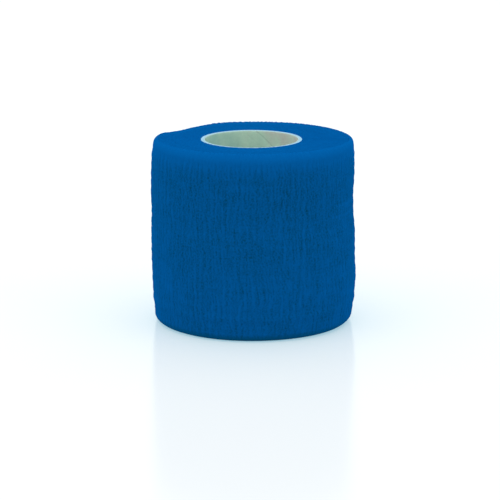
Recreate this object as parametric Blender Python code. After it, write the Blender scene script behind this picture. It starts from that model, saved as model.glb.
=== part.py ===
"""Cohesive bandage roll: a strip of crinkled, self-clinging crepe wound on a paper core.

The roll stands on its end. Metres, +Z up. The origin is on the surface that it stands on, under
the middle of its outline, and -Y is the side towards the viewer. Angles are seen from above,
anticlockwise from +X.
"""

import math

import bmesh
import bpy

MM = 0.001

# The wound strip, 50 mm wide
ROLL_HEIGHT = 50.0 * MM
ROLL_RADIUS = 27.8 * MM
TURN_THICKNESS = 0.40 * MM
COLUMNS = 90

# The outermost turn ends at the back, and runs clockwise from there as seen from above
LOOSE_END_ANGLE = math.radians(116)
LOOSE_END_STEP = math.radians(0.8)

# At the back left the roll is pressed a little flat, and its upper edge lies low
DENT_ANGLE = math.radians(135)
DENT_HALF_WIDTH = math.radians(36)
DENT_DEPTH = 0.9 * MM
DENT_DROP = 0.5 * MM
DENT_REACH = 6.0 * MM

# Elastic threads run round the roll, and the cloth puffs out in a row between each two
ROWS = 19
ROW_RELIEF = 0.16 * MM

# The soft corners where the side meets the two ends; the upper one is rounder on the left
TOP_EDGE = 1.1 * MM
TOP_EDGE_SPREAD = 0.20 * MM
BOTTOM_EDGE = 1.9 * MM
EDGE_STEPS = 4

# The innermost turns lie a little low, so that the core's rim shows over them
TOP_DISH = 0.3 * MM

# How far the side draws in, and how far it leans to the right, at each height
FORM = (
    # height, draw in, lean
    (0.0 * MM, 1.10 * MM, 0.00 * MM),
    (3.0 * MM, 0.65 * MM, 0.13 * MM),
    (6.0 * MM, 0.28 * MM, 0.22 * MM),
    (13.0 * MM, 0.00 * MM, 0.27 * MM),
    (18.0 * MM, 0.06 * MM, 0.05 * MM),
    (24.0 * MM, 0.06 * MM, 0.00 * MM),
    (31.0 * MM, 0.40 * MM, -0.16 * MM),
    (35.0 * MM, 0.36 * MM, -0.28 * MM),
    (40.0 * MM, 0.26 * MM, -0.12 * MM),
    (45.0 * MM, 0.35 * MM, -0.03 * MM),
    (48.0 * MM, 0.60 * MM, 0.06 * MM),
    (50.0 * MM, 0.85 * MM, 0.08 * MM),
)

# Shallow swells round the side, from uneven winding
SWELLS = (
    # swells in a full turn, angle of the first, height of each
    (2, math.radians(35), 0.08 * MM),
    (3, math.radians(200), 0.07 * MM),
    (5, math.radians(110), 0.05 * MM),
)

# The paper core, with a one inch bore, sits a little to the left of the outline's middle
CORE_BORE_RADIUS = 12.7 * MM
CORE_WALL = 0.95 * MM
CORE_CHAMFER = 0.15 * MM
CORE_SUNK = 0.25 * MM
CORE_LEFT = 0.53 * MM
CORE_COLUMNS = 96
CORE_SEAM_MERGE = 0.01 * MM
CORE_GAP = 0.3 * MM

CREPE_BLUE = (0.001, 0.075, 0.250, 1.0)
CREPE_ROUGHNESS = 0.9
PAPER_GREY = (0.300, 0.440, 0.350, 1.0)
PAPER_ROUGHNESS = 0.8
SHARP_EDGE = math.radians(50)


def clear_scene():
    for obj in list(bpy.data.objects):
        bpy.data.objects.remove(obj)


def finish_of(name, colour, roughness):
    """A plain surface of one colour."""
    material = bpy.data.materials.new(name)
    material.use_nodes = True
    shader = material.node_tree.nodes["Principled BSDF"]
    shader.inputs["Base Color"].default_value = colour
    shader.inputs["Roughness"].default_value = roughness
    shader.inputs["Metallic"].default_value = 0.0
    return material


def smoothstep(share):
    share = min(max(share, 0.0), 1.0)
    return share * share * (3.0 - 2.0 * share)


def form_at(height):
    """The draw-in and the lean at a height, eased from one row of the table to the next."""
    for below, above in zip(FORM, FORM[1:]):
        if height <= above[0]:
            break
    share = smoothstep((height - below[0]) / (above[0] - below[0]))
    draw_in, lean = (low + (high - low) * share for low, high in zip(below[1:], above[1:]))
    return draw_in, lean


def swell_at(angle):
    return sum(rise * math.cos(count * (angle - first)) for count, first, rise in SWELLS)


def dent_at(angle):
    """1 in the middle of the dent, easing to 0 at its ends."""
    away = abs((angle - DENT_ANGLE + math.pi) % (2 * math.pi) - math.pi)
    return (1 + math.cos(math.pi * min(away / DENT_HALF_WIDTH, 1.0))) / 2


def side_rows(top):
    """Each valley and crest on the side, as its height and its inset. The end rows are the corners."""
    half_row = top / ROWS / 2
    for step in range(2, 2 * ROWS - 1):
        crest = step % 2
        yield step * half_row, ROW_RELIEF * (0.5 - crest)


def outer_profile(top, top_edge):
    """(height, inset) from the flat underside up the side to the upper end."""
    turns = [math.pi / 2 * step / EDGE_STEPS for step in range(EDGE_STEPS + 1)]
    for turn in turns:
        yield BOTTOM_EDGE * (1 - math.cos(turn)), BOTTOM_EDGE * (1 - math.sin(turn))
    yield from side_rows(top)
    for turn in reversed(turns):
        yield top - top_edge * (1 - math.cos(turn)), top_edge * (1 - math.sin(turn))


def outer_column(share):
    """One upright line of points on the outside, at a share of the outermost turn from its end."""
    angle = LOOSE_END_ANGLE - share * (2 * math.pi - LOOSE_END_STEP)
    dent = dent_at(angle)
    wound = ROLL_RADIUS - TURN_THICKNESS * share + swell_at(angle) - DENT_DEPTH * dent
    top_edge = TOP_EDGE - TOP_EDGE_SPREAD * math.cos(angle)
    points = []
    for height, inset in outer_profile(ROLL_HEIGHT - DENT_DROP * dent, top_edge):
        draw_in, lean = form_at(height)
        radius = wound - draw_in - inset
        points.append((lean + radius * math.cos(angle), radius * math.sin(angle), height))
    level = ROLL_RADIUS - DENT_REACH
    points.append((level * math.cos(angle), level * math.sin(angle), ROLL_HEIGHT))
    return angle, points


def centred(columns):
    """The columns, moved so that the box round them stands over the origin."""
    xs, ys = zip(*((point[0], point[1]) for _, points in columns for point in points))
    middle_x = (min(xs) + max(xs)) / 2
    middle_y = (min(ys) + max(ys)) / 2
    return [
        (angle, [(x - middle_x, y - middle_y, z) for x, y, z in points])
        for angle, points in columns
    ]


def bore_point(angle, height):
    radius = CORE_BORE_RADIUS + CORE_WALL + CORE_GAP
    return (radius * math.cos(angle) - CORE_LEFT, radius * math.sin(angle), height)


def closed_mesh(name, columns):
    """A body closed on itself both ways, from columns that go round it."""
    shape = bmesh.new()
    rings = [[shape.verts.new(point) for point in column] for column in columns]
    for ring, following in zip(rings, rings[1:] + rings[:1]):
        corners = zip(ring, ring[1:] + ring[:1], following[1:] + following[:1], following)
        for quad in corners:
            shape.faces.new(quad)
    bmesh.ops.recalc_face_normals(shape, faces=shape.faces)
    mesh = bpy.data.meshes.new(name)
    shape.to_mesh(mesh)
    shape.free()
    return mesh


def add_object(name, mesh, material):
    mesh.materials.append(material)
    mesh.shade_smooth()
    mesh.set_sharp_from_angle(angle=SHARP_EDGE)
    obj = bpy.data.objects.new(name, mesh)
    bpy.context.scene.collection.objects.link(obj)
    return obj


def make_bandage():
    """The wound strip as one solid: its bore, ends, soft corners and rows."""
    columns = centred([outer_column(step / COLUMNS) for step in range(COLUMNS + 1)])
    whole = [
        [bore_point(angle, 0.0), *points, bore_point(angle, ROLL_HEIGHT - TOP_DISH)]
        for angle, points in columns
    ]
    mesh = closed_mesh("bandage_roll", whole)
    crepe = finish_of("blue_crepe", CREPE_BLUE, CREPE_ROUGHNESS)
    return add_object("bandage_roll", mesh, crepe)


def make_core():
    """The paper tube, turned from its wall's outline with chamfered corners."""
    inner = CORE_BORE_RADIUS
    outer = inner + CORE_WALL
    top = ROLL_HEIGHT - CORE_SUNK
    cut = CORE_CHAMFER
    outline = (
        (outer, top - cut),
        (outer, cut),
        (outer - cut, 0.0),
        (inner + cut, 0.0),
        (inner, cut),
        (inner, top - cut),
        (inner + cut, top),
        (outer - cut, top),
    )
    shape = bmesh.new()
    corners = [shape.verts.new((radius, 0.0, height)) for radius, height in outline]
    for corner, following in zip(corners, corners[1:] + corners[:1]):
        shape.edges.new((corner, following))
    mesh = bpy.data.meshes.new("core_tube")
    shape.to_mesh(mesh)
    shape.free()
    core = add_object("core_tube", mesh, finish_of("core_paper", PAPER_GREY, PAPER_ROUGHNESS))
    core.location.x = -CORE_LEFT
    turned = core.modifiers.new("Turned", "SCREW")
    turned.axis = "Z"
    turned.steps = turned.render_steps = CORE_COLUMNS
    turned.use_merge_vertices = True
    turned.merge_threshold = CORE_SEAM_MERGE
    turned.use_smooth_shade = True
    return core


clear_scene()
make_bandage()
make_core()
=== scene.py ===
"""Cohesive bandage roll: blue crinkled crepe wound on an open paper core, standing on its end.

The crepe is one strip. Its outermost turn is a finely crinkled sheet, and the turns under it are a
thin spiral ribbon whose edges show at both ends of the roll. Metres, +Z up, -Y towards the viewer.
Angles are seen from above, anticlockwise from +X.
"""

import math

import bpy
import numpy as np
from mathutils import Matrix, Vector


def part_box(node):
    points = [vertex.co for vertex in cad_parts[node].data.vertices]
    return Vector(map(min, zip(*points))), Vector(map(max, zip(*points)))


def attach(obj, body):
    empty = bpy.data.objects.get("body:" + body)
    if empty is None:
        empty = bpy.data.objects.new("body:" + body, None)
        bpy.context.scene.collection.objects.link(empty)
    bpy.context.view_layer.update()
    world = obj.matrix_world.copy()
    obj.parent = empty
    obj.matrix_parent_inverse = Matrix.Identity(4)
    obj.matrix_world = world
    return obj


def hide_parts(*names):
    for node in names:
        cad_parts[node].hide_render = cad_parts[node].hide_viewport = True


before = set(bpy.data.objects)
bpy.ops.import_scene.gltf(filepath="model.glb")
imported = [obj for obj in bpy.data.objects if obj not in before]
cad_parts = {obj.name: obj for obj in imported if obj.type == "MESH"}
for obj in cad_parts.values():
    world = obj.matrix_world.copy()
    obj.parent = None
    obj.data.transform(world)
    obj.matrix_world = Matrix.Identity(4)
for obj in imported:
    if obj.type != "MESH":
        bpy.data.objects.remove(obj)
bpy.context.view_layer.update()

MM = 0.001

# The roll's form. It is that of the frame's solids, with the foot, the corners and the upper edge
# shaped a little more closely.
ROLL_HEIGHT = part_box("bandage_roll")[1].z
ROLL_RADIUS = 27.8 * MM

# The soft corners where the side meets the two ends
TOP_EDGE = 0.95 * MM
TOP_EDGE_IN_FRONT = 1.8 * MM
BOTTOM_EDGE = 2.0 * MM
BOTTOM_EDGE_SPREAD = 0.22 * MM
BOTTOM_SOFTEST = math.radians(-60)

# The upper end has its crest this far in from the side, and is dished from there to the core
CREST_REACH = 6.0 * MM
TOP_DISH = 0.3 * MM

# How far the side draws in, and how far it leans to the right, at each height
SIDE_SPAN = (2.0 * MM, 49.0 * MM)
FORM = np.array((
    # height, draw in, lean, in mm
    (0.0, 1.00, 0.00),
    (4.0, 0.70, 0.16),
    (6.5, 0.28, 0.22),
    (13.0, 0.00, 0.27),
    (18.0, 0.06, 0.05),
    (24.0, 0.06, 0.00),
    (31.0, 0.40, -0.16),
    (35.0, 0.36, -0.28),
    (40.0, 0.26, -0.12),
    (45.0, 0.35, -0.03),
    (48.0, 0.60, 0.06),
    (50.0, 0.85, 0.08),
)) * MM

# Shallow swells round the side, from uneven winding
SWELLS = (
    # swells in a full turn, angle of the first, height of each
    (2, math.radians(35), 0.08 * MM),
    (3, math.radians(200), 0.07 * MM),
    (5, math.radians(110), 0.05 * MM),
)

# At the back left the roll is pressed a little flat, and its upper edge lies low
DENT_ANGLE = math.radians(135)
DENT_HALF_WIDTH = math.radians(36)
DENT_DEPTH = 0.9 * MM
DENT_DROP = 0.5 * MM

# The upper edge is a little uneven, most of all at the back
EDGE_RISES = np.array((
    # angle in degrees, how far the upper edge stands up there in mm
    (0, 0.00),
    (24, -0.10),
    (60, 0.00),
    (97, -0.10),
    (108, 0.02),
    (121, 0.21),
    (134, 0.12),
    (144, -0.19),
    (155, -0.18),
    (161, 0.05),
    (190, 0.00),
    (360, 0.00),
))

# The paper core, level with the innermost turns
CORE_SUNK = 0.08 * MM
core_low, core_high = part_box("core_tube")
CORE_X = (core_low.x + core_high.x) / 2
CORE_OUTER = (core_high.x - core_low.x) / 2
CORE_TOP = core_high.z - CORE_SUNK
CORE_BORE = 12.7 * MM

# The strip: its width, its turns from the loose end inwards, and its thickness. The outermost turn
# runs on under its own loose end for a share of a turn.
TURNS = 34
CLOTH = 0.345 * MM
OUTER_CLOTH = 0.36 * MM
LOOSE_END_ANGLE = math.radians(116)
OVERLAP = 0.02
INNERMOST_CLEARANCE = 0.03 * MM

# The crinkles: random pleats, gathered by the rows of elastic threads, which fade out at both selvages
ROWS = 19
FINE_ROWS = 53
THREAD_SINK = 0.07 * MM
FINE_SINK = 0.020 * MM
PLEAT_RELIEF = 0.060 * MM
PLEAT_SKEW = 0.06
PLEAT_LIMIT = 1.8
PLEAT_AT_THREAD = 0.75
PLEAT_WANDER = 0.13 * MM
LOOSENESS_SPREAD = 0.12
TOP_SELVAGE = 1.0 * MM
TOP_FADE = 2.6 * MM
LOW_SELVAGE = 0.3 * MM
LOW_FADE = 1.6 * MM

# Painted shade, from 0 to 1, that darkens the cloth's colour in its grooves and all over the side: less so
# low down and towards the top
PAINTED_SHADE_MIDDLE = 0.32
PAINTED_SHADE_LOW = 0.25
LOW_STRETCH = (14.0 * MM, 22.0 * MM)
PAINTED_SHADE_IN_GROOVES = 0.14
PATCHY_SHADE_SPREAD = 0.048
TOP_SHADE_START = 1.5 * MM
TOP_SHADE_FADE = 5.8 * MM


def smoothstep(share):
    share = np.clip(share, 0.0, 1.0)
    return share * share * (3.0 - 2.0 * share)


def form_at(height):
    """The draw-in and the lean at each height, eased from one row of the table to the next."""
    row = np.clip(np.searchsorted(FORM[:, 0], height) - 1, 0, len(FORM) - 2)
    share = smoothstep((height - FORM[row, 0]) / (FORM[row + 1, 0] - FORM[row, 0]))
    draw_in, lean = (
        FORM[row, column] + (FORM[row + 1, column] - FORM[row, column]) * share for column in (1, 2)
    )
    return draw_in, lean


def swell_at(angle):
    return sum(rise * np.cos(count * (angle - first)) for count, first, rise in SWELLS)


def turned_from(angle, middle):
    """How far round each angle lies from a middle one, at most half a turn either way."""
    return (angle - middle + math.pi) % (2 * math.pi) - math.pi


def dent_at(angle):
    """1 in the middle of the dent at the back left, easing to 0 at its ends."""
    away = np.abs(turned_from(angle, DENT_ANGLE))
    return (1 + np.cos(math.pi * np.minimum(away / DENT_HALF_WIDTH, 1.0))) / 2


def outside(angle, height):
    """The wound form's outer surface, before its corners are rounded, as x and y."""
    draw_in, lean = form_at(height)
    radius = ROLL_RADIUS + swell_at(angle) - DENT_DEPTH * dent_at(angle) - draw_in
    return lean + radius * np.cos(angle), radius * np.sin(angle)


def middle_of_form():
    """The middle of the box round the side, which the frame puts over the origin."""
    angle, height = np.meshgrid(np.linspace(0, 2 * math.pi, 361), np.linspace(*SIDE_SPAN, 95))
    return [(side.min() + side.max()) / 2 for side in outside(angle, height)]


MIDDLE_X, MIDDLE_Y = middle_of_form()


def ends_of_wall(angle, height):
    """Where the wall of cloth starts at the outer surface and ends at the core, as x and y each."""
    outer_x, outer_y = outside(angle, height)
    reach = CORE_OUTER + INNERMOST_CLEARANCE
    inner_x = CORE_X + reach * np.cos(angle)
    inner_y = reach * np.sin(angle)
    return outer_x - MIDDLE_X, outer_y - MIDDLE_Y, inner_x, inner_y


def wall_at(angle, height):
    """The thickness of cloth between the outer surface and the core."""
    outer_x, outer_y, inner_x, inner_y = ends_of_wall(angle, height)
    return np.hypot(outer_x - inner_x, outer_y - inner_y)


def in_wall(angle, height, inset):
    """A point at a depth under the outer surface, on the straight line to the core, as x and y."""
    outer_x, outer_y, inner_x, inner_y = ends_of_wall(angle, height)
    share = inset / np.hypot(outer_x - inner_x, outer_y - inner_y)
    return outer_x + (inner_x - outer_x) * share, outer_y + (inner_y - outer_y) * share


def outer_top_at(angle):
    """The height of the upper edge: low at the dent, and a little uneven."""
    rise = np.interp(np.degrees(angle) % 360.0, EDGE_RISES[:, 0], EDGE_RISES[:, 1])
    return ROLL_HEIGHT - DENT_DROP * dent_at(angle) + rise * MM


def top_of_roll(angle, inset, wall):
    """The height of the upper end at a depth under the outer surface: a crown, dished to the core."""
    outwards = smoothstep(1.0 - inset / CREST_REACH)
    inwards = np.clip((inset - CREST_REACH) / (wall - CREST_REACH), 0.0, 1.0)
    return ROLL_HEIGHT + (outer_top_at(angle) - ROLL_HEIGHT) * outwards - TOP_DISH * inwards


def top_edge_at(angle):
    """The radius of the soft upper corner, which is rounder in front."""
    return TOP_EDGE + TOP_EDGE_IN_FRONT * smoothstep(-np.sin(angle))


def bottom_edge_at(angle):
    """The radius of the soft lower corner, which is roundest in front, a little to the right."""
    return BOTTOM_EDGE + BOTTOM_EDGE_SPREAD * (1.0 + np.cos(angle - BOTTOM_SOFTEST))


# Random ripples on the strip, as even maps of its surface that repeat every MAP_LENGTH
MAP_LENGTH = 204.8 * MM
MAP_STEP = 0.1 * MM
MAP_HEIGHT = 51.2 * MM
MAP_RISE = 0.2 * MM


def ripple_map(seed, weight):
    """Ripples of mean height 0 and mean square 1. weight gives the strength of each frequency."""
    shape = (round(MAP_LENGTH / MAP_STEP), round(MAP_HEIGHT / MAP_RISE))
    noise = np.random.default_rng(seed).standard_normal(shape)
    along = np.abs(np.fft.fftfreq(shape[0], MAP_STEP))[:, None] * MM
    up = np.abs(np.fft.fftfreq(shape[1], MAP_RISE))[None, :] * MM
    ripples = np.fft.ifft2(np.fft.fft2(noise) * weight(along, up)).real
    ripples -= ripples.mean()
    return ripples / ripples.std()


def read_map(ripples, along, height):
    """The map's value at each place on the strip, eased between its points."""
    column = (along % MAP_LENGTH) / MAP_STEP
    row = (height % MAP_HEIGHT) / MAP_RISE
    left = np.floor(column).astype(int)
    below = np.floor(row).astype(int)
    across = column - left
    up = row - below
    columns, rows = ripples.shape
    value = 0.0
    for step_along, share_along in ((0, 1 - across), (1, across)):
        for step_up, share_up in ((0, 1 - up), (1, up)):
            corner = ripples[(left + step_along) % columns, (below + step_up) % rows]
            value = value + corner * share_along * share_up
    return value


def near(frequency, middle, width):
    """1 at the middle frequency, falling off over a width. All three are per millimetre."""
    return np.exp(-(((frequency - middle) / width) ** 2))


def pleats(along, up):
    """Upright pleats, about 1.75 mm apart with finer ones among them, some of them many rows long.

    Short dashes lie among them, about 1 mm apart and once every 2 mm up.
    """
    pitch = 0.80 * near(along, 0.57, 0.18) + 0.75 * near(along, 1.2, 0.65)
    length = 1.15 * np.exp(-up / 0.55) + 1.9 * near(up, 0.0, 0.10)
    dashes = 1.2 * near(along, 1.04, 0.18) * near(up, 0.50, 0.13)
    return pitch * length + dashes


def slants(along, up):
    """How far the pleats wander sideways, over a few millimetres."""
    return near(along, 0.0, 0.22) * near(up, 0.0, 0.28)


def looseness(along, up):
    """Broad stretches where the pleats are deeper or shallower."""
    return near(along, 0.0, 0.10) * near(up, 0.0, 0.10)


def patches(along, up):
    """Soft patches where the painted shade is deeper or lighter."""
    return near(along, 0.0, 0.30) * np.exp(-up / 0.30)


PLEATS = ripple_map(11, pleats)
SLANTS = ripple_map(12, slants)
LOOSENESS = ripple_map(13, looseness)
PATCHES = ripple_map(14, patches)


def crinkle(along, height):
    """How far the cloth stands out at each place, and the shade painted into its colour there, from 0 to 1.
    """
    turn_up = 2 * math.pi * height / ROLL_HEIGHT
    free = 0.5 - 0.5 * np.cos(turn_up * ROWS)
    puff = THREAD_SINK * (free - 0.5) + FINE_SINK * np.cos(turn_up * FINE_ROWS)
    slanted = along + PLEAT_WANDER * read_map(SLANTS, along, height)
    loose = 1.0 + LOOSENESS_SPREAD * read_map(LOOSENESS, along, height)
    from_top = ROLL_HEIGHT - height
    low_end = smoothstep((height - LOW_SELVAGE) / LOW_FADE)
    crepe = low_end * smoothstep((from_top - TOP_SELVAGE) / TOP_FADE)
    shaded = low_end * smoothstep((from_top - TOP_SHADE_START) / TOP_SHADE_FADE)
    pleat = read_map(PLEATS, slanted, height) * loose * (PLEAT_AT_THREAD + (1 - PLEAT_AT_THREAD) * free)
    pleat = PLEAT_LIMIT * np.tanh(pleat / PLEAT_LIMIT)
    shaped = pleat - PLEAT_SKEW * (pleat * pleat - 1.0)
    rise = crepe * (PLEAT_RELIEF * shaped + puff)
    # Painted shade: the side below its top band is darkened, less so low down, in soft patches, and most in
    # the grooves
    upper_share = smoothstep((height - LOW_STRETCH[0]) / (LOW_STRETCH[1] - LOW_STRETCH[0]))
    middle = PAINTED_SHADE_LOW + (PAINTED_SHADE_MIDDLE - PAINTED_SHADE_LOW) * upper_share
    patchy_painted_shade = middle + PATCHY_SHADE_SPREAD * read_map(PATCHES, along, height)
    painted_crinkle_shade = patchy_painted_shade * shaded - PAINTED_SHADE_IN_GROOVES * crepe * shaped
    return rise, np.clip(painted_crinkle_shade, 0.0, 1.0)


def new_object(name, points, faces, material):
    mesh = bpy.data.meshes.new(name)
    mesh.from_pydata(points, [], faces)
    mesh.materials.append(material)
    mesh.shade_smooth()
    piece = bpy.data.objects.new(name, mesh)
    bpy.context.scene.collection.objects.link(piece)
    return piece


def add_values(piece, name, values):
    """A number, or three, kept at each point of the mesh for its material."""
    values = np.ascontiguousarray(values, np.float32)
    if values.ndim == 1:
        piece.data.attributes.new(name, "FLOAT", "POINT").data.foreach_set("value", values)
    else:
        piece.data.attributes.new(name, "FLOAT_VECTOR", "POINT").data.foreach_set("vector", values.ravel())


def grid_faces(columns, rows, wrap_columns):
    """Quads over points kept column by column, each column closed on itself."""
    column = np.arange(columns if wrap_columns else columns - 1)[:, None]
    row = np.arange(rows)[None, :]
    after = (column + 1) % columns
    above = (row + 1) % rows
    quads = np.stack(
        [column * rows + row, after * rows + row, after * rows + above, column * rows + above], axis=-1
    )
    return quads.reshape(-1, 4)


def tube_faces(columns, rows, wrap_columns):
    faces = grid_faces(columns, rows, wrap_columns).tolist()
    if not wrap_columns:
        first = list(range(rows))
        last = [(columns - 1) * rows + row for row in range(rows)]
        faces.append(first)
        faces.append(last[::-1])
    return faces


def new_cloth(name, ring, along, up_the_strip, painted_crinkle_shades, material):
    """A closed length of cloth. ring has one line of points for each place round its section."""
    points = ring.transpose(1, 0, 2).reshape(-1, 3)
    piece = new_object(name, points.tolist(), tube_faces(len(along), len(ring), False), material)
    along_the_strip = np.broadcast_to(along, up_the_strip.shape)
    strip = np.stack([along_the_strip, up_the_strip, np.zeros_like(up_the_strip)], axis=-1)
    add_values(piece, "strip", strip.transpose(1, 0, 2).reshape(-1, 3))
    # The painted crinkle shade, for the material
    add_values(piece, "painted_crinkle_shade", painted_crinkle_shades.T.ravel())
    return piece


# Materials

NOISE_SPAN = (0.3, 0.7)


def new_material(name):
    material = bpy.data.materials.new(name)
    material.use_nodes = True
    tree = material.node_tree
    return material, tree, tree.nodes["Principled BSDF"]


def add_node(tree, kind, settings=(), **inputs):
    """A node with its settings and inputs; an input is a value, or the output that feeds it.

    An input is named by its label, or by its place among the inputs, as in _0.
    """
    made = tree.nodes.new(kind)
    for setting, value in dict(settings).items():
        setattr(made, setting, value)
    for name, value in inputs.items():
        socket = made.inputs[int(name[1:])] if name[1:].isdigit() else made.inputs[name.replace("_", " ")]
        if isinstance(value, bpy.types.NodeSocket):
            tree.links.new(value, socket)
        else:
            socket.default_value = value
    return made


def attribute(tree, name, output="Fac"):
    return add_node(tree, "ShaderNodeAttribute", {"attribute_name": name}).outputs[output]


def noise(tree, place, cells_a_metre, detail, roughness):
    """A noise over a place on the surface, with its own number of cells a metre along each axis."""
    stretched = add_node(
        tree, "ShaderNodeVectorMath", {"operation": "MULTIPLY"}, _0=place, _1=cells_a_metre
    ).outputs[0]
    return add_node(
        tree, "ShaderNodeTexNoise", Vector=stretched, Scale=1.0, Detail=detail, Roughness=roughness
    ).outputs["Fac"]


def in_range(tree, value, low, high, new_low, new_high):
    return add_node(
        tree,
        "ShaderNodeMapRange",
        Value=value,
        From_Min=low,
        From_Max=high,
        To_Min=new_low,
        To_Max=new_high,
    ).outputs["Result"]


def spread(tree, noise_value, lowest, highest):
    """Most of a noise's values, spread from the lowest to the highest of other numbers."""
    return in_range(tree, noise_value, *NOISE_SPAN, lowest, highest)


def add_bump(tree, shader, relief, strength, distance):
    bump = add_node(tree, "ShaderNodeBump", Height=relief, Strength=strength, Distance=distance)
    tree.links.new(bump.outputs["Normal"], shader.inputs["Normal"])


def calculated(tree, operation, first, second):
    return add_node(tree, "ShaderNodeMath", {"operation": operation}, _0=first, _1=second).outputs[0]


def mixed(tree, share, first, second, blend="MIX"):
    """A colour between two others."""
    return add_node(
        tree, "ShaderNodeMix", {"data_type": "RGBA", "blend_type": blend}, _0=share, _6=first, _7=second
    ).outputs[2]


CREPE_BLUE = (0.0004, 0.072, 0.250, 1.0)
CREPE_LIGHT = (0.0006, 0.080, 0.272, 1.0)
# The deep blue that the painted crinkle shade darkens the cloth towards
CREPE_PAINTED_SHADE = (0.0003, 0.033, 0.065, 1.0)
# Painted shade: over the lowest FOOT_SHADE_REACH, where the cloth meets the floor, its colour is darkened to
# a deep teal
CREPE_PAINTED_FOOT_SHADE = (0.0003, 0.044, 0.050, 1.0)
FOOT_SHADE_REACH = 2.2 * MM
CREPE_ROUGHNESS = (0.82, 0.97)
CREPE_SHEEN = (0.0, 0.25, 0.90, 1.0)
CREPE_SHEEN_WEIGHT = 0.18
CREPE_SHEEN_ROUGHNESS = 0.5
CREPE_BUMP = 0.35
CREPE_BUMP_HEIGHT = 0.05 * MM

# Cells a metre along the strip and up it
FIBRES = (2600.0, 900.0, 1.0)
GRAIN = (2600.0, 2000.0, 1.0)
DYE = (110.0, 90.0, 1.0)
GRAIN_IN_GROOVES = (0.3, 1.7)
GRAIN_RELIEF = 0.8
DYE_SPAN = (0.35, 0.65)
DYE_MOST = 0.30


def crepe_material():
    """Blue non-woven crepe: fine fibres, uneven dye, painted shade in the grooves and over the side, and
    painted shade at the foot.
    """
    material, tree, shader = new_material("blue_crepe")
    strip = attribute(tree, "strip", "Vector")
    painted_crinkle_shade = attribute(tree, "painted_crinkle_shade")
    fibres = noise(tree, strip, FIBRES, 4.0, 0.6)
    grain = noise(tree, strip, GRAIN, 1.0, 0.5)
    dye = noise(tree, strip, DYE, 3.0, 0.5)
    colour = mixed(tree, spread(tree, fibres, 0.0, 1.0), CREPE_BLUE, CREPE_LIGHT)
    colour = mixed(tree, in_range(tree, dye, *DYE_SPAN, 0.0, DYE_MOST), colour, CREPE_BLUE)
    # Painted shade in the grooves and over the side, broken up by the grain
    grained_painted_shade = calculated(tree, "MULTIPLY", painted_crinkle_shade, spread(tree, grain, *GRAIN_IN_GROOVES))
    colour = mixed(tree, grained_painted_shade, colour, CREPE_PAINTED_SHADE)
    # Painted shade at the foot, fading out upwards
    height = add_node(tree, "ShaderNodeSeparateXYZ", _0=strip).outputs["Y"]
    painted_foot_shade = in_range(tree, height, 0.0, FOOT_SHADE_REACH, 1.0, 0.0)
    colour = mixed(tree, painted_foot_shade, colour, CREPE_PAINTED_FOOT_SHADE)
    tree.links.new(colour, shader.inputs["Base Color"])
    tree.links.new(spread(tree, fibres, *CREPE_ROUGHNESS), shader.inputs["Roughness"])
    shader.inputs["Specular IOR Level"].default_value = 0.0
    shader.inputs["Sheen Weight"].default_value = CREPE_SHEEN_WEIGHT
    shader.inputs["Sheen Roughness"].default_value = CREPE_SHEEN_ROUGHNESS
    shader.inputs["Sheen Tint"].default_value = CREPE_SHEEN
    relief = calculated(tree, "ADD", fibres, calculated(tree, "MULTIPLY", grain, GRAIN_RELIEF))
    add_bump(tree, shader, relief, CREPE_BUMP, CREPE_BUMP_HEIGHT)
    return material


# Paper tones round the bore, from the cool left to the warm, lighter right: partly the paper's own tint and
# partly painted light
PAPER_COOL_AND_PAINTED_SHADE = (0.30, 0.505, 0.445, 1.0)
PAPER_MIDDLE = (0.45, 0.64, 0.52, 1.0)
PAPER_WARM_AND_PAINTED_LIGHT = (0.47, 0.49, 0.45, 1.0)
PAPER_CUT_INSIDE = (0.30, 0.42, 0.43, 1.0)
# The rim's outer side: pale paper tinted blue with painted bounce light from the cloth
PAPER_CUT_OUTSIDE_PAINTED_BOUNCE = (0.20, 0.48, 0.70, 1.0)
PAPER_SEAM = (0.24, 0.36, 0.32, 1.0)
PAPER_SEAM_MOST = 0.40
PAPER_ROUGHNESS = (0.75, 0.92)
PAPER_SPECULAR = 0.25
PAPER_BUMP = 0.3
PAPER_BUMP_HEIGHT = 0.04 * MM

# Cells a metre round the bore and up it
PULP = (1500.0, 1500.0, 1.0)
STAINS = (260.0, 150.0, 1.0)
STAIN_WARMTH = (-0.18, 0.18)
FLECKS = (0.95, 1.05)


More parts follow.
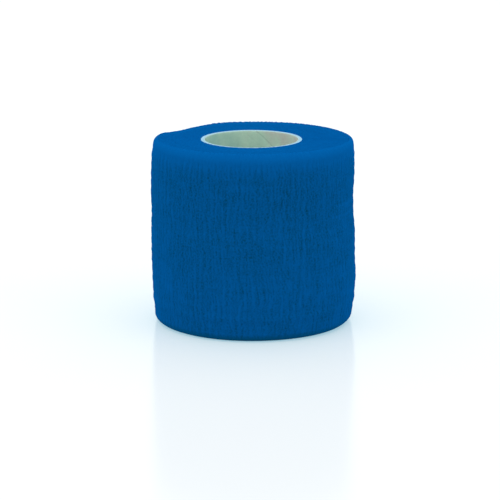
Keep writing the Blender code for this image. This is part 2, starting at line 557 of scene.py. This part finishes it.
def paper_material():
    """Grey-green uncoated paper, warmer and lighter on its right, partly its own tint and partly painted
    light, with a pale cut rim whose outer side has painted blue bounce light from the cloth, and a darker
    seam.
    """
    material, tree, shader = new_material("core_paper")
    place = attribute(tree, "place", "Vector")
    cut = attribute(tree, "cut")
    seam = attribute(tree, "seam")
    across = attribute(tree, "across")
    painted_light_and_warmth = attribute(tree, "painted_light_and_warmth")
    pulp = noise(tree, place, PULP, 5.0, 0.6)
    stain = noise(tree, place, STAINS, 2.0, 0.5)
    stains_warmth_and_painted_light = calculated(tree, "ADD", painted_light_and_warmth, spread(tree, stain, *STAIN_WARMTH))
    cool_half = mixed(tree, in_range(tree, stains_warmth_and_painted_light, 0.0, 0.5, 0.0, 1.0), PAPER_COOL_AND_PAINTED_SHADE, PAPER_MIDDLE)
    colour = mixed(tree, in_range(tree, stains_warmth_and_painted_light, 0.5, 1.0, 0.0, 1.0), cool_half, PAPER_WARM_AND_PAINTED_LIGHT)
    colour = mixed(tree, in_range(tree, seam, 0.0, 1.0, 0.0, PAPER_SEAM_MOST), colour, PAPER_SEAM)
    # The cut rim, bluer towards its outside with painted bounce light from the cloth
    rim = mixed(tree, across, PAPER_CUT_INSIDE, PAPER_CUT_OUTSIDE_PAINTED_BOUNCE)
    colour = mixed(tree, cut, colour, rim)
    flecks = spread(tree, pulp, *FLECKS)
    colour = add_node(
        tree, "ShaderNodeVectorMath", {"operation": "SCALE"}, _0=colour, Scale=flecks
    ).outputs[0]
    tree.links.new(colour, shader.inputs["Base Color"])
    tree.links.new(spread(tree, pulp, *PAPER_ROUGHNESS), shader.inputs["Roughness"])
    shader.inputs["Specular IOR Level"].default_value = PAPER_SPECULAR
    add_bump(tree, shader, pulp, PAPER_BUMP, PAPER_BUMP_HEIGHT)
    return material


# The outermost turn

OUTER_COLUMNS = 700
SIDE_STEPS = 118
CURL_STEPS = 7

# The plain face underneath has few rows of points. These are counted from the top and from the foot.
BACK_ROWS_FROM_TOP = (1, 3, 8)
BACK_ROWS_FROM_FOOT = (8, 3, 0)

# The share of each corner's radius that the face curls over, and how far its edges reach past that
TOP_CURL = 0.86
BOTTOM_CURL = 0.71
TIP_AT_TOP = 0.19 * MM
TIP_AT_FOOT = 0.13 * MM
TOP_RIPPLE = 0.07 * MM

# The face stands out a little from the form, lifts at the loose end and sinks where that covers it
MEAN_INSET = 0.3 * MM
OUTWARDS = 0.06 * MM
LIFT = 0.22 * MM
LIFT_REACH = 3.0 * MM
COVERED_SINK = 0.06 * MM


def outer_face(angle, ripple):
    """Heights and insets of the outer turn's face: one row for each step up, one column for each angle.

    The face curls over both soft corners, for a share of each corner's radius.
    """
    top = outer_top_at(angle) + ripple
    top_edge = top_edge_at(angle)
    low_edge = bottom_edge_at(angle)
    top_end = math.asin(1.0 - TOP_CURL)
    low_end = math.asin(1.0 - BOTTOM_CURL)
    heights = []
    insets = []
    for turn in np.linspace(low_end, math.pi / 2, CURL_STEPS + 1):
        heights.append(low_edge * (1 - math.cos(turn)))
        insets.append(low_edge * (1 - math.sin(turn)))
    for share in np.linspace(0, 1, SIDE_STEPS + 1)[1:-1]:
        heights.append(low_edge + (top - top_edge - low_edge) * share)
        insets.append(np.zeros_like(angle))
    for turn in np.linspace(math.pi / 2, top_end, CURL_STEPS + 1):
        heights.append(top - top_edge * (1 - math.cos(turn)))
        insets.append(top_edge * (1 - math.sin(turn)))
    return np.array(heights), np.array(insets)


def directions(face, angle):
    """For each point of a face, the way up the cloth and the way straight out of it, each 1 long."""
    up = np.gradient(face, axis=0)
    round_the_roll = np.gradient(face, axis=1)
    normal = np.cross(up, round_the_roll)
    normal /= np.linalg.norm(normal, axis=-1, keepdims=True)
    outwards = np.stack([np.cos(angle), np.sin(angle), np.zeros_like(angle)], axis=-1)
    if (normal[len(face) // 2] * outwards).sum() < 0:
        normal = -normal
    return up / np.linalg.norm(up, axis=-1, keepdims=True), normal


def make_outer_turn(material):
    """One closed sheet: a finely crinkled face, soft curled edges, and a plain face underneath."""
    share = np.linspace(0.0, 1.0 + OVERLAP, OUTER_COLUMNS)
    angle = LOOSE_END_ANGLE - share * 2 * math.pi
    along = share * 2 * math.pi * (ROLL_RADIUS - MEAN_INSET)
    ripple = TOP_RIPPLE * np.tanh(read_map(PLEATS, along, np.full_like(along, ROLL_HEIGHT)))
    heights, insets = outer_face(angle, ripple)
    rows = len(heights)
    turn_step = wall_at(angle, heights) / TURNS
    lifted = LIFT * (1 - smoothstep(along / LIFT_REACH))
    x, y = in_wall(angle, heights, insets + turn_step * share - lifted - OUTWARDS)
    face = np.stack([x, y, heights], axis=-1)
    upwards, normal = directions(face, angle)

    rise, painted_crinkle_shade = crinkle(np.broadcast_to(along, heights.shape), heights)
    covered = smoothstep((share - 1.0) / OVERLAP * 2.0)
    rise = rise * (1 - covered) - COVERED_SINK * covered
    front = face + normal * rise[..., None]
    back_rows = [rows - row for row in BACK_ROWS_FROM_TOP] + [rows // 2] + list(BACK_ROWS_FROM_FOOT)
    back = face[back_rows] - normal[back_rows] * OUTER_CLOTH
    tip_top = (front[-1] + back[0]) / 2 + upwards[-1] * TIP_AT_TOP
    tip_low = (front[0] + back[-1]) / 2 - upwards[0] * TIP_AT_FOOT

    ring = np.concatenate([front, tip_top[None], back, tip_low[None]])
    # The tips and the plain face underneath get no painted shade
    painted_crinkle_shades = np.concatenate([painted_crinkle_shade, np.zeros((len(ring) - rows, len(share)))])
    foot = np.zeros_like(heights[:1])
    up_the_strip = np.concatenate([heights, foot + ROLL_HEIGHT, heights[back_rows], foot])
    piece = new_cloth("outer_turn", ring, along, up_the_strip, painted_crinkle_shades, material)
    return piece


# The turns under it

COLUMNS_A_TURN = 400
TURN_GAP = 0.03 * MM
TURN_WAVER = 0.020 * MM
THINNEST_START = 0.03 * MM

# The strip's two edges are rounded, and uneven along the strip and from turn to turn
EDGE_DROP = 0.06 * MM
EDGE_WAVER = 0.020 * MM
EDGE_WAVER_STRETCH = 0.6
EDGE_WAVER_ROW = 20.0 * MM
EDGE_SPREAD = 0.020 * MM
EDGE_SEED = 21
TOP_CLEARANCE = 0.02 * MM
FOOT_CLEARANCE = 0.05 * MM
FOOT_UNEVENNESS = 0.5
RIBBON_SECTION = (
    # share of the thickness from the outer face, rise from the end, the end
    (0.0, EDGE_DROP, "foot"),
    (0.0, -EDGE_DROP, "top"),
    (0.5, 0.0, "top"),
    (1.0, -EDGE_DROP, "top"),
    (1.0, EDGE_DROP, "foot"),
    (0.5, 0.0, "foot"),
)

# The room that the outermost turns leave for the curled edges, and how far past a curl it goes on
CURL_CLEARANCE = 0.14 * MM
PAST_CURL = 0.06 * MM


def under_curl(inset, edge, curl):
    """How far short of the roll's end a turn stops, to lie under the outer turn's curl."""
    radius = edge - OUTER_CLOTH - CURL_CLEARANCE
    across = np.clip(edge - inset - CLOTH / 2, 0.0, radius)
    under = edge - np.sqrt(radius**2 - across**2)
    beyond = edge - np.sqrt(edge**2 - np.clip(edge - inset, 0.0, edge) ** 2)
    return np.where(inset + CLOTH / 2 < curl * edge + PAST_CURL, under, beyond)


def edge_unevenness(share, along):
    """How far the strip's edges stand up at each place: a fine waver, and a step from turn to turn."""
    waver = EDGE_WAVER * read_map(PLEATS, along * EDGE_WAVER_STRETCH, np.full_like(along, EDGE_WAVER_ROW))
    turn = np.floor(share).astype(int)
    step = np.random.default_rng(EDGE_SEED).normal(0.0, EDGE_SPREAD, TURNS + 2)
    return waver + step[turn] + (step[turn + 1] - step[turn]) * (share - turn)


def make_wound_turns(material):
    """A thin closed ribbon that winds from under the outer turn to the core.

    Where the strip starts, on the core, it is pressed to a thin wedge and so stays out of the paper.
    """
    share = np.linspace(1.0 + OVERLAP, TURNS, round((TURNS - 1.0 - OVERLAP) * COLUMNS_A_TURN))
    angle = LOOSE_END_ANGLE - share * 2 * math.pi
    wall = wall_at(angle, np.full_like(angle, ROLL_HEIGHT / 2))
    inset = wall * share / TURNS
    radius = ROLL_RADIUS - inset
    steps = (radius[1:] + radius[:-1]) / 2 * np.abs(np.diff(angle))
    along = np.concatenate([[0.0], np.cumsum(steps)])
    waver = TURN_WAVER * read_map(PLEATS, along, np.zeros_like(along))
    edges = edge_unevenness(share, along)
    top_corner = under_curl(inset, top_edge_at(angle), TOP_CURL)
    low_corner = under_curl(inset, bottom_edge_at(angle), BOTTOM_CURL)
    ends = {
        "top": top_of_roll(angle, inset, wall) - top_corner + edges - TOP_CLEARANCE,
        "foot": low_corner + np.maximum(FOOT_CLEARANCE + edges * FOOT_UNEVENNESS, 0.0),
    }

    ring = []
    heights = []
    for through, rise, end in RIBBON_SECTION:
        height = ends[end] + rise
        wall = wall_at(angle, height)
        depth = wall * share / TURNS + TURN_GAP + CLOTH * through + waver
        depth = np.minimum(depth, wall - THINNEST_START * (1.0 - through))
        x, y = in_wall(angle, height, depth)
        ring.append(np.stack([x, y, height], axis=-1))
        heights.append(height)
    # The wound turns get no painted shade
    painted_crinkle_shades = np.zeros((len(ring), len(along)))
    piece = new_cloth("wound_turns", np.array(ring), along, np.array(heights), painted_crinkle_shades, material)
    return piece


# The paper core

SEAM_SLOPE = 0.85
SEAM_ANGLE = math.radians(85)
SEAM_WAVE = 0.008
SEAM_WAVE_PITCH = 4.5 * MM
PLY_EDGE_ANGLE = math.radians(100)
SEAM_HALF_WIDTH = math.radians(1.2)
SEAM_DEPTH = 0.05 * MM
SEAM_LOST_ON_CUT = 0.6
PLY_DEPTH = 0.03 * MM
PLY_EDGE_WIDTH = math.radians(1.5)
PLY_REACH = math.radians(40)
WARM_SHIFT = math.radians(12)
LIP = 0.18 * MM
LIP_REACH = 3.0 * MM
RIM_TILT = 0.05 * MM
CORE_COLUMNS = 360
BORE_ROWS = 40
BORE_CROWDING = 1.6
OUTSIDE_ROWS = 12
RIM_CORNER = 0.12 * MM
RIM_SECTION = (
    # share of the wall from the bore, drop in mm: three plies with a fine groove between each two
    (0.03, 0.07),
    (0.10, 0.01),
    (0.28, 0.00),
    (0.33, 0.05),
    (0.38, 0.00),
    (0.61, 0.00),
    (0.66, 0.05),
    (0.71, 0.00),
    (0.90, 0.01),
    (0.97, 0.07),
)


def core_section():
    """The points round the wall: share of the wall from the bore, height, and 1 on a cut edge."""
    from_top = np.linspace(0, 1, BORE_ROWS)[::-1] ** BORE_CROWDING
    section = [(0.0, RIM_CORNER + (CORE_TOP - 2 * RIM_CORNER) * (1 - share), 0.0) for share in from_top]
    section += [(across, CORE_TOP - drop * MM, 1.0) for across, drop in RIM_SECTION]
    section += [(1.0, height, 0.0) for height in np.linspace(CORE_TOP - RIM_CORNER, RIM_CORNER, OUTSIDE_ROWS)]
    section += [(across, drop * MM, 1.0) for across, drop in reversed(RIM_SECTION)]
    return section


def make_core(material):
    """The spiral-wound tube. Its columns of points follow the spiral, so that its seams are clean."""
    wall = CORE_OUTER - CORE_BORE
    start = np.linspace(0, 2 * math.pi, CORE_COLUMNS, endpoint=False)
    from_seam = turned_from(start, SEAM_ANGLE)
    seam = np.exp(-((from_seam / SEAM_HALF_WIDTH) ** 2))
    from_ply = turned_from(start, PLY_EDGE_ANGLE)
    ply = smoothstep(from_ply / PLY_EDGE_WIDTH) * smoothstep(1 - from_ply / PLY_REACH)
    rows = core_section()
    points = []
    places = []
    cuts = []
    seams = []
    crossings = []
    painted_light_and_warmths = []
    for across, height, cut in rows:
        angle = start + (height - CORE_TOP) / (SEAM_SLOPE * CORE_BORE)
        angle = angle + SEAM_WAVE * math.sin(2 * math.pi * height / SEAM_WAVE_PITCH)
        lip = LIP * smoothstep(1 - (CORE_TOP - height) / LIP_REACH)
        inwards = lip - SEAM_DEPTH * seam - PLY_DEPTH * ply
        radius = CORE_BORE + wall * across - inwards * (1 - across) ** 2
        tilted = height + RIM_TILT * np.sin(angle) * height / CORE_TOP
        points.append(np.stack([CORE_X + radius * np.cos(angle), radius * np.sin(angle), tilted], axis=-1))
        places.append(np.stack([angle * CORE_BORE, np.full_like(angle, height), 0 * angle], axis=-1))
        cuts.append(np.full_like(angle, cut))
        seams.append(seam * (1 - cut * SEAM_LOST_ON_CUT))
        crossings.append(np.full_like(angle, across))
        # Warmer and lighter towards the right of the bore: partly the paper's tint and partly painted light
        painted_light_and_warmths.append(0.5 - 0.5 * np.sin(from_seam - WARM_SHIFT))
    points = np.array(points).transpose(1, 0, 2).reshape(-1, 3)
    faces = tube_faces(CORE_COLUMNS, len(rows), True)
    piece = new_object("paper_core", points.tolist(), faces, material)
    add_values(piece, "place", np.array(places).transpose(1, 0, 2).reshape(-1, 3))
    for name, values in (("cut", cuts), ("seam", seams), ("across", crossings), ("painted_light_and_warmth", painted_light_and_warmths)):
        add_values(piece, name, np.array(values).T.ravel())
    return piece


# The studio: a white floor, soft light from above and from both sides, and the camera

CAMERA_PLACE = (0.0, -0.5911, 0.15574)
CAMERA_DOWN = math.radians(13.029)
CAMERA_TURN = math.radians(0.0886)
SENSOR_WIDTH = 36.0
IMAGE_WIDTH = 500
FOCAL_PIXELS = 2228.0
# The floor's own colour is warm; with the painted cyan glow added it reads white in the open and tints the
# shadows cyan
FLOOR_COLOUR = (0.49, 0.36, 0.29, 1.0)
FLOOR_ROUGHNESS = 0.16
FLOOR_SPECULAR = 0.15
FLOOR_PAINTED_GLOW = (0.26, 0.475, 0.58, 1.0)
FLOOR_UNDER_ROLL = (0.70, 0.70, 0.70, 1.0)
NO_GLOW = (0.0, 0.0, 0.0, 1.0)
UNDER_ROLL_REACH = 20.0 * MM
FLOOR_SIZE = 20.0
WORLD_COLOUR = (1.0, 1.0, 1.0, 1.0)
WORLD_STRENGTH = 0.9
LIGHTS = (
    # name, place, the point that it faces, its width and height, watts
    ("overhead", (0.0, 0.2, 1.6), (0.0, 0.2, 0.0), 3.0, 26.0),
    ("left", (-0.8, -0.35, 0.35), (0.0, 0.0, 0.02), 0.7, 1.75),
    ("right", (0.8, -0.35, 0.35), (0.0, 0.0, 0.02), 0.7, 1.65),
)


def add_light(name, place, target, size, power):
    light = bpy.data.lights.new(name, "AREA")
    light.shape = "RECTANGLE"
    light.size = size
    light.size_y = size
    light.energy = power
    lamp = bpy.data.objects.new(name, light)
    lamp.location = place
    lamp.rotation_euler = (Vector(target) - Vector(place)).to_track_quat("-Z", "Y").to_euler()
    bpy.context.scene.collection.objects.link(lamp)


def floor_material():
    """A little glossy, with a cyan glow all round the roll, which is painted light: it keeps the roll's
    shadow pale and tints it cyan. The floor's own colour is warm, so that with the glow the open floor reads
    white.
    """
    material, tree, shader = new_material("floor")
    place = add_node(tree, "ShaderNodeTexCoord").outputs["Object"]
    from_axis = add_node(tree, "ShaderNodeVectorMath", {"operation": "LENGTH"}, _0=place).outputs["Value"]
    open_floor = calculated(tree, "GREATER_THAN", from_axis, UNDER_ROLL_REACH)
    tree.links.new(mixed(tree, open_floor, FLOOR_UNDER_ROLL, FLOOR_COLOUR), shader.inputs["Base Color"])
    # Painted light: the floor glows all round the roll, but not under it
    tree.links.new(mixed(tree, open_floor, NO_GLOW, FLOOR_PAINTED_GLOW), shader.inputs["Emission Color"])
    shader.inputs["Emission Strength"].default_value = 1.0
    shader.inputs["Roughness"].default_value = FLOOR_ROUGHNESS
    shader.inputs["Specular IOR Level"].default_value = FLOOR_SPECULAR
    return material


def make_studio():
    for light in LIGHTS:
        add_light(*light)
    world = bpy.data.worlds.new("studio")
    world.use_nodes = True
    background = world.node_tree.nodes["Background"]
    background.inputs["Color"].default_value = WORLD_COLOUR
    background.inputs["Strength"].default_value = WORLD_STRENGTH
    bpy.context.scene.world = world
    bpy.ops.mesh.primitive_plane_add(size=FLOOR_SIZE, location=(0, 0, 0))
    floor = bpy.context.object
    floor.name = "floor"
    floor.data.materials.append(floor_material())
    bpy.context.scene.view_settings.view_transform = "Standard"


def make_camera():
    data = bpy.data.cameras.new("camera")
    data.sensor_width = SENSOR_WIDTH
    data.lens = FOCAL_PIXELS * SENSOR_WIDTH / IMAGE_WIDTH
    camera = bpy.data.objects.new("camera", data)
    camera.location = CAMERA_PLACE
    camera.rotation_euler = (math.pi / 2 - CAMERA_DOWN, 0.0, CAMERA_TURN)
    bpy.context.scene.collection.objects.link(camera)
    bpy.context.scene.camera = camera


make_camera()
make_studio()
crepe = crepe_material()
core = make_core(paper_material())
wound = make_wound_turns(crepe)
outer = make_outer_turn(crepe)
for piece, slot_name in ((core, "core_paper"), (wound, "crepe"), (outer, "crepe")):
    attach(piece, "root")
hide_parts("core_tube")
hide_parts("bandage_roll")
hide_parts("bandage_roll")
